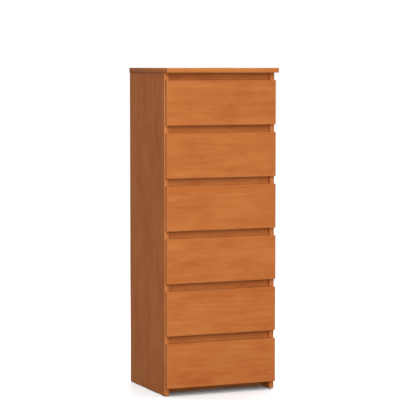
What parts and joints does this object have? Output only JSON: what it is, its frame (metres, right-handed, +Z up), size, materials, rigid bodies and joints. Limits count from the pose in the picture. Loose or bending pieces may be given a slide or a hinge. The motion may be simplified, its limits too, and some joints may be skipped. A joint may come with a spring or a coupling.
{
  "type": "tall chest of drawers",
  "caption": "Tall narrow chest of drawers in laminated board, with overlay fronts, open finger gaps between them and box drawers on roller runners.",
  "frame": {"origin": "on the floor, at the centre of the overall box", "axes": "+Z up, the drawer fronts face -Y and pull out along -Y, +X to the right as seen from the front"},
  "size_m": [0.404, 0.35, 1.09],
  "materials": {
    "alder_board": "satin laminated board with an alder grain print, edges banded in the same decor",
    "white_board": "white laminated board, fine satin",
    "back_hardboard": "raw brown hardboard outside, white lacquer inside",
    "white_hardboard": "hardboard with white lacquer",
    "runner_steel": "rolled sheet steel, white powder coat",
    "roller_nylon": "moulded nylon",
    "zinc_fittings": "zinc-plated steel and die-cast zinc",
    "beech_dowel": "turned beech",
    "glide_plastic": "moulded plastic on a steel nail"
  },
  "bodies": {
    "carcass": {"top_panel": "alder_board", "left_side_panel": "alder_board", "right_side_panel": "alder_board", "bottom_panel": "alder_board", "plinth_board": "alder_board", "back_panel": "back_hardboard", "gap_rails": "alder_board", "cabinet_runners": "runner_steel", "floor_glides": "glide_plastic", "cam_fittings": "zinc_fittings", "wood_dowels": "beech_dowel", "screws_and_nails": "zinc_fittings"},
    "drawer_1": {"drawer_1_front": "alder_board", "drawer_1_sides": "white_board", "drawer_1_back": "white_board", "drawer_1_bottom": "white_hardboard", "drawer_1_runners": "runner_steel", "drawer_1_fasteners": "zinc_fittings"},
    "drawer_1_roller_pair": {"drawer_1_rollers": "roller_nylon"},
    "cabinet_roller_pair_1": {"cabinet_rollers_1": "roller_nylon"},
    "drawer_2": {"drawer_2_front": "alder_board", "drawer_2_sides": "white_board", "drawer_2_back": "white_board", "drawer_2_bottom": "white_hardboard", "drawer_2_runners": "runner_steel", "drawer_2_fasteners": "zinc_fittings"},
    "drawer_2_roller_pair": {"drawer_2_rollers": "roller_nylon"},
    "cabinet_roller_pair_2": {"cabinet_rollers_2": "roller_nylon"},
    "drawer_3": {"drawer_3_front": "alder_board", "drawer_3_sides": "white_board", "drawer_3_back": "white_board", "drawer_3_bottom": "white_hardboard", "drawer_3_runners": "runner_steel", "drawer_3_fasteners": "zinc_fittings"},
    "drawer_3_roller_pair": {"drawer_3_rollers": "roller_nylon"},
    "cabinet_roller_pair_3": {"cabinet_rollers_3": "roller_nylon"},
    "drawer_4": {"drawer_4_front": "alder_board", "drawer_4_sides": "white_board", "drawer_4_back": "white_board", "drawer_4_bottom": "white_hardboard", "drawer_4_runners": "runner_steel", "drawer_4_fasteners": "zinc_fittings"},
    "drawer_4_roller_pair": {"drawer_4_rollers": "roller_nylon"},
    "cabinet_roller_pair_4": {"cabinet_rollers_4": "roller_nylon"},
    "drawer_5": {"drawer_5_front": "alder_board", "drawer_5_sides": "white_board", "drawer_5_back": "white_board", "drawer_5_bottom": "white_hardboard", "drawer_5_runners": "runner_steel", "drawer_5_fasteners": "zinc_fittings"},
    "drawer_5_roller_pair": {"drawer_5_rollers": "roller_nylon"},
    "cabinet_roller_pair_5": {"cabinet_rollers_5": "roller_nylon"},
    "drawer_6": {"drawer_6_front": "alder_board", "drawer_6_sides": "white_board", "drawer_6_back": "white_board", "drawer_6_bottom": "white_hardboard", "drawer_6_runners": "runner_steel", "drawer_6_fasteners": "zinc_fittings"},
    "drawer_6_roller_pair": {"drawer_6_rollers": "roller_nylon"},
    "cabinet_roller_pair_6": {"cabinet_rollers_6": "roller_nylon"}
  },
  "joints": [
    {"name": "drawer_1_slide", "type": "slide", "parent": "carcass", "child": "drawer_1", "axis": [0, -1, 0], "range_m": [0, 0.225]},
    {"name": "drawer_1_rollers_turn", "type": "hinge", "parent": "drawer_1", "child": "drawer_1_roller_pair", "pos_m": [0, 0.144, 0.9373], "axis": [1, 0, 0], "continuous": true},
    {"name": "cabinet_rollers_1_turn", "type": "hinge", "parent": "carcass", "child": "cabinet_roller_pair_1", "pos_m": [0, -0.1275, 0.9397], "axis": [1, 0, 0], "continuous": true},
    {"name": "drawer_2_slide", "type": "slide", "parent": "carcass", "child": "drawer_2", "axis": [0, -1, 0], "range_m": [0, 0.225]},
    {"name": "drawer_2_rollers_turn", "type": "hinge", "parent": "drawer_2", "child": "drawer_2_roller_pair", "pos_m": [0, 0.144, 0.7628], "axis": [1, 0, 0], "continuous": true},
    {"name": "cabinet_rollers_2_turn", "type": "hinge", "parent": "carcass", "child": "cabinet_roller_pair_2", "pos_m": [0, -0.1275, 0.7652], "axis": [1, 0, 0], "continuous": true},
    {"name": "drawer_3_slide", "type": "slide", "parent": "carcass", "child": "drawer_3", "axis": [0, -1, 0], "range_m": [0, 0.225]},
    {"name": "drawer_3_rollers_turn", "type": "hinge", "parent": "drawer_3", "child": "drawer_3_roller_pair", "pos_m": [0, 0.144, 0.5883], "axis": [1, 0, 0], "continuous": true},
    {"name": "cabinet_rollers_3_turn", "type": "hinge", "parent": "carcass", "child": "cabinet_roller_pair_3", "pos_m": [0, -0.1275, 0.5907], "axis": [1, 0, 0], "continuous": true},
    {"name": "drawer_4_slide", "type": "slide", "parent": "carcass", "child": "drawer_4", "axis": [0, -1, 0], "range_m": [0, 0.225]},
    {"name": "drawer_4_rollers_turn", "type": "hinge", "parent": "drawer_4", "child": "drawer_4_roller_pair", "pos_m": [0, 0.144, 0.4138], "axis": [1, 0, 0], "continuous": true},
    {"name": "cabinet_rollers_4_turn", "type": "hinge", "parent": "carcass", "child": "cabinet_roller_pair_4", "pos_m": [0, -0.1275, 0.4162], "axis": [1, 0, 0], "continuous": true},
    {"name": "drawer_5_slide", "type": "slide", "parent": "carcass", "child": "drawer_5", "axis": [0, -1, 0], "range_m": [0, 0.225]},
    {"name": "drawer_5_rollers_turn", "type": "hinge", "parent": "drawer_5", "child": "drawer_5_roller_pair", "pos_m": [0, 0.144, 0.2393], "axis": [1, 0, 0], "continuous": true},
    {"name": "cabinet_rollers_5_turn", "type": "hinge", "parent": "carcass", "child": "cabinet_roller_pair_5", "pos_m": [0, -0.1275, 0.2417], "axis": [1, 0, 0], "continuous": true},
    {"name": "drawer_6_slide", "type": "slide", "parent": "carcass", "child": "drawer_6", "axis": [0, -1, 0], "range_m": [0, 0.225]},
    {"name": "drawer_6_rollers_turn", "type": "hinge", "parent": "drawer_6", "child": "drawer_6_roller_pair", "pos_m": [0, 0.144, 0.0648], "axis": [1, 0, 0], "continuous": true},
    {"name": "cabinet_rollers_6_turn", "type": "hinge", "parent": "carcass", "child": "cabinet_roller_pair_6", "pos_m": [0, -0.1275, 0.0672], "axis": [1, 0, 0], "continuous": true}
  ],
  "couplings": [
    {"joint": "drawer_1_rollers_turn", "follows": "drawer_1_slide", "rad_per_m": 117.65},
    {"joint": "cabinet_rollers_1_turn", "follows": "drawer_1_slide", "rad_per_m": 105.26},
    {"joint": "drawer_2_rollers_turn", "follows": "drawer_2_slide", "rad_per_m": 117.65},
    {"joint": "cabinet_rollers_2_turn", "follows": "drawer_2_slide", "rad_per_m": 105.26},
    {"joint": "drawer_3_rollers_turn", "follows": "drawer_3_slide", "rad_per_m": 117.65},
    {"joint": "cabinet_rollers_3_turn", "follows": "drawer_3_slide", "rad_per_m": 105.26},
    {"joint": "drawer_4_rollers_turn", "follows": "drawer_4_slide", "rad_per_m": 117.65},
    {"joint": "cabinet_rollers_4_turn", "follows": "drawer_4_slide", "rad_per_m": 105.26},
    {"joint": "drawer_5_rollers_turn", "follows": "drawer_5_slide", "rad_per_m": 117.65},
    {"joint": "cabinet_rollers_5_turn", "follows": "drawer_5_slide", "rad_per_m": 105.26},
    {"joint": "drawer_6_rollers_turn", "follows": "drawer_6_slide", "rad_per_m": 117.65},
    {"joint": "cabinet_rollers_6_turn", "follows": "drawer_6_slide", "rad_per_m": 105.26}
  ]
}
